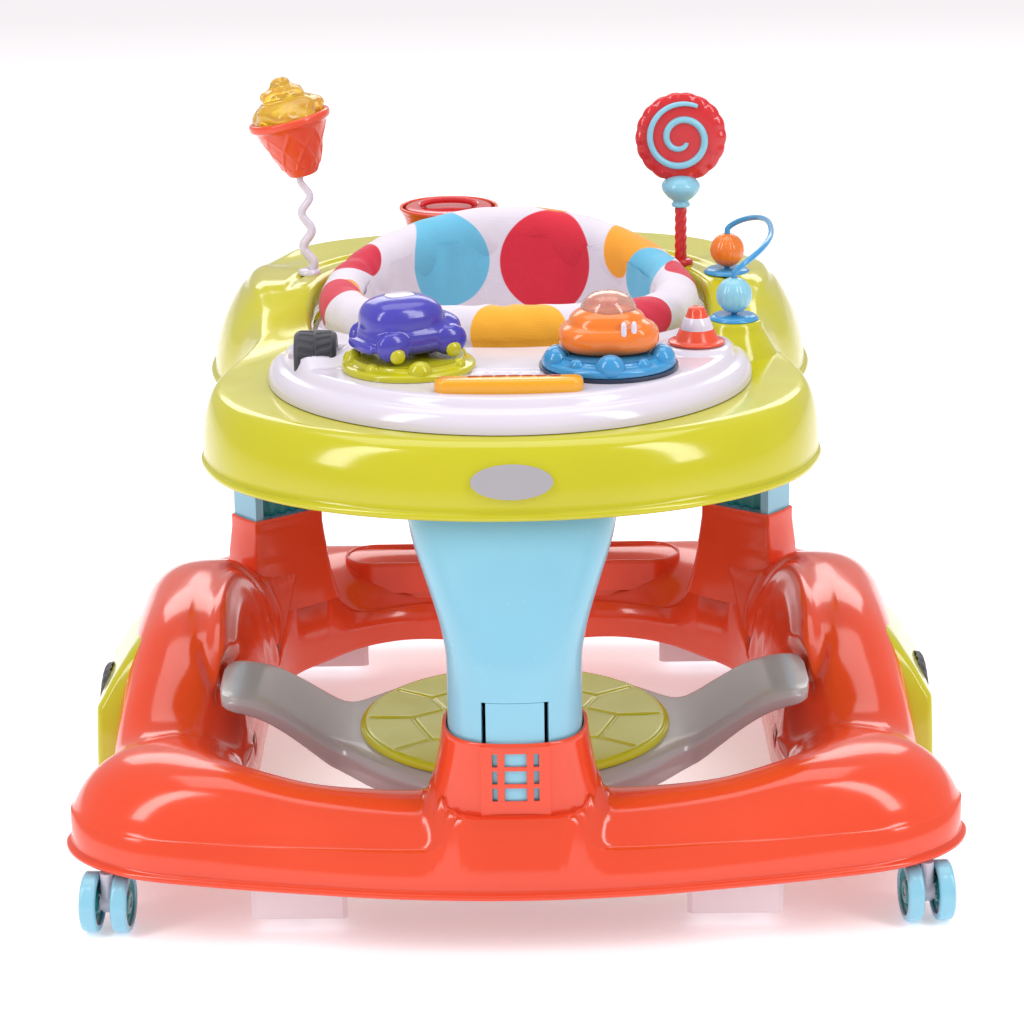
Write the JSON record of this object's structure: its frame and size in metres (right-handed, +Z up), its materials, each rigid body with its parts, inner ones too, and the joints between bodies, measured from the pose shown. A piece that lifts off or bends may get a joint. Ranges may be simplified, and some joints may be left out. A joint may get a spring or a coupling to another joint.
{
  "type": "baby walker",
  "caption": "Wheeled baby walker: moulded ring base on swivel casters, height-adjusting tray with padded round seat, footrest and activity toys.",
  "frame": {"origin": "on the floor, under the middle of the whole walker's box", "axes": "+X to the right seen from the front, +Y from the front to the rear, +Z up"},
  "size_m": [0.7228, 0.742, 0.6037],
  "materials": {
    "base_orange": "gloss polypropylene",
    "white_plastic": "gloss ABS",
    "lime_plastic": "gloss polypropylene",
    "sky_plastic": "gloss polypropylene",
    "grey_plastic": "satin polypropylene",
    "dark_rubber": "soft moulded rubber",
    "dark_plastic": "moulded ABS",
    "steel": "zinc plated",
    "badge_foil": "satin foil",
    "seat_cloth": "woven polyester over foam",
    "toy_orange": "gloss ABS",
    "toy_yellow": "gloss ABS",
    "toy_red": "gloss ABS",
    "toy_blue": "gloss ABS",
    "toy_purple": "gloss ABS",
    "clear_plastic": "clear polycarbonate"
  },
  "bodies": {
    "base": {"base_shell": "base_orange", "caster_sockets": "white_plastic", "wheel_panel_left": "lime_plastic", "wheel_panel_right": "lime_plastic", "wheel_tyres": "dark_rubber", "hub_caps": "sky_plastic", "stopper_pads": "white_plastic", "base_screws": "steel", "footrest_plate": "grey_plastic", "footrest_disc": "lime_plastic"},
    "upper": {"front_column": "sky_plastic", "rear_leg_left": "sky_plastic", "rear_leg_right": "sky_plastic", "tray_shell": "lime_plastic", "activity_panel": "white_plastic", "tray_badge": "badge_foil", "music_box": "grey_plastic", "battery_door": "grey_plastic", "seat_hoop": "white_plastic", "seat_fabric": "seat_cloth", "seat_roll": "seat_cloth", "icecream_stalk": "white_plastic", "lollipop_stalk": "toy_red", "bead_loop": "toy_blue", "purple_base": "lime_plastic", "turntable": "dark_plastic", "tyre_axle": "steel", "rear_dish": "base_orange"},
    "latch": {"height_latch": "sky_plastic"},
    "icecream": {"icecream_cone": "toy_orange", "icecream_swirl": "toy_yellow"},
    "lollipop": {"lollipop_disc": "toy_red"},
    "bead_rear": {"bead_orange": "toy_orange"},
    "bead_front": {"bead_blue": "sky_plastic"},
    "purple_car": {"purple_car": "toy_purple"},
    "orange_car": {"orange_base": "toy_blue", "orange_car": "toy_orange", "clear_dome": "clear_plastic"},
    "music_keys": {"music_keys": "toy_yellow"},
    "tyre_roller": {"tyre_roller": "dark_rubber"},
    "cone_button": {"cone_button": "toy_orange"},
    "dish_lid": {"dish_lid": "toy_red"},
    "caster_fl": {"caster_fork_fl": "white_plastic", "caster_axle_fl": "steel"},
    "wheel_fl_a": {"wheel_fl_inner": "sky_plastic"},
    "wheel_fl_b": {"wheel_fl_outer": "sky_plastic"},
    "caster_fr": {"caster_fork_fr": "white_plastic", "caster_axle_fr": "steel"},
    "wheel_fr_a": {"wheel_fr_inner": "sky_plastic"},
    "wheel_fr_b": {"wheel_fr_outer": "sky_plastic"},
    "caster_rl": {"caster_fork_rl": "white_plastic", "caster_axle_rl": "steel"},
    "wheel_rl_a": {"wheel_rl_inner": "sky_plastic"},
    "wheel_rl_b": {"wheel_rl_outer": "sky_plastic"},
    "caster_rr": {"caster_fork_rr": "white_plastic", "caster_axle_rr": "steel"},
    "wheel_rr_a": {"wheel_rr_inner": "sky_plastic"},
    "wheel_rr_b": {"wheel_rr_outer": "sky_plastic"}
  },
  "joints": [
    {"name": "height_adjust", "type": "slide", "parent": "base", "child": "upper", "axis": [0, 0, 1], "range_m": [-0.03, 0]},
    {"name": "caster_fl_swivel", "type": "hinge", "parent": "base", "child": "caster_fl", "pos_m": [-0.322, -0.286, 0.075], "axis": [0, 0, 1], "continuous": true},
    {"name": "wheel_fl_a_spin", "type": "hinge", "parent": "caster_fl", "child": "wheel_fl_a", "pos_m": [-0.32409, -0.30589, 0.024], "axis": [0.9945, -0.1045, 0], "continuous": true},
    {"name": "wheel_fl_b_spin", "type": "hinge", "parent": "caster_fl", "child": "wheel_fl_b", "pos_m": [-0.32409, -0.30589, 0.024], "axis": [0.9945, -0.1045, 0], "continuous": true},
    {"name": "caster_fr_swivel", "type": "hinge", "parent": "base", "child": "caster_fr", "pos_m": [0.322, -0.286, 0.075], "axis": [0, 0, 1], "continuous": true},
    {"name": "wheel_fr_a_spin", "type": "hinge", "parent": "caster_fr", "child": "wheel_fr_a", "pos_m": [0.32409, -0.30589, 0.024], "axis": [0.9945, 0.1045, 0], "continuous": true},
    {"name": "wheel_fr_b_spin", "type": "hinge", "parent": "caster_fr", "child": "wheel_fr_b", "pos_m": [0.32409, -0.30589, 0.024], "axis": [0.9945, 0.1045, 0], "continuous": true},
    {"name": "caster_rl_swivel", "type": "hinge", "parent": "base", "child": "caster_rl", "pos_m": [-0.304, 0.278, 0.075], "axis": [0, 0, 1], "continuous": true},
    {"name": "wheel_rl_a_spin", "type": "hinge", "parent": "caster_rl", "child": "wheel_rl_a", "pos_m": [-0.30609, 0.29789, 0.024], "axis": [-0.9945, -0.1045, 0], "continuous": true},
    {"name": "wheel_rl_b_spin", "type": "hinge", "parent": "caster_rl", "child": "wheel_rl_b", "pos_m": [-0.30609, 0.29789, 0.024], "axis": [-0.9945, -0.1045, 0], "continuous": true},
    {"name": "caster_rr_swivel", "type": "hinge", "parent": "base", "child": "caster_rr", "pos_m": [0.304, 0.278, 0.075], "axis": [0, 0, 1], "continuous": true},
    {"name": "wheel_rr_a_spin", "type": "hinge", "parent": "caster_rr", "child": "wheel_rr_a", "pos_m": [0.30609, 0.29789, 0.024], "axis": [-0.9945, 0.1045, 0], "continuous": true},
    {"name": "wheel_rr_b_spin", "type": "hinge", "parent": "caster_rr", "child": "wheel_rr_b", "pos_m": [0.30609, 0.29789, 0.024], "axis": [-0.9945, 0.1045, 0], "continuous": true},
    {"name": "latch_flex", "type": "hinge", "parent": "upper", "child": "latch", "pos_m": [0, -0.3565, 0.2045], "axis": [1, 0, 0], "range_deg": [0, 2.5], "stiffness_Nm_per_rad": 4},
    {"name": "purple_car_press", "type": "slide", "parent": "upper", "child": "purple_car", "axis": [0, 0, 1], "range_m": [-0.003, 0], "stiffness_N_per_m": 3000, "springref_m": 0.001},
    {"name": "cone_press", "type": "slide", "parent": "upper", "child": "cone_button", "axis": [0, 0, 1], "range_m": [-0.003, 0], "stiffness_N_per_m": 900, "springref_m": 0.001},
    {"name": "music_keys_press", "type": "slide", "parent": "upper", "child": "music_keys", "axis": [0, 0, 1], "range_m": [-0.003, 0], "stiffness_N_per_m": 900, "springref_m": 0.001},
    {"name": "orange_car_turn", "type": "hinge", "parent": "upper", "child": "orange_car", "pos_m": [0.078, -0.192, 0.44], "axis": [0, 0, 1], "continuous": true},
    {"name": "tyre_roller_spin", "type": "hinge", "parent": "upper", "child": "tyre_roller", "pos_m": [-0.155, -0.157, 0.43], "axis": [1, 0, 0], "continuous": true},
    {"name": "bead_front_spin", "type": "hinge", "parent": "upper", "child": "bead_front", "pos_m": [0.187, -0.044, 0.4483], "axis": [0, 0, 1], "continuous": true},
    {"name": "bead_rear_spin", "type": "hinge", "parent": "upper", "child": "bead_rear", "pos_m": [0.193, 0.132, 0.4483], "axis": [0, 0, 1], "continuous": true},
    {"name": "icecream_sway", "type": "hinge", "parent": "upper", "child": "icecream", "pos_m": [-0.179, 0.15, 0.5165], "axis": [0, 1, 0], "range_deg": [-12, 12], "stiffness_Nm_per_rad": 1.2},
    {"name": "lollipop_turn", "type": "hinge", "parent": "upper", "child": "lollipop", "pos_m": [0.154, 0.17, 0.49], "axis": [0, 0, 1], "continuous": true},
    {"name": "dish_lid_turn", "type": "hinge", "parent": "upper", "child": "dish_lid", "pos_m": [-0.055, 0.306, 0.4545], "axis": [0, 0, 1], "continuous": true}
  ]
}
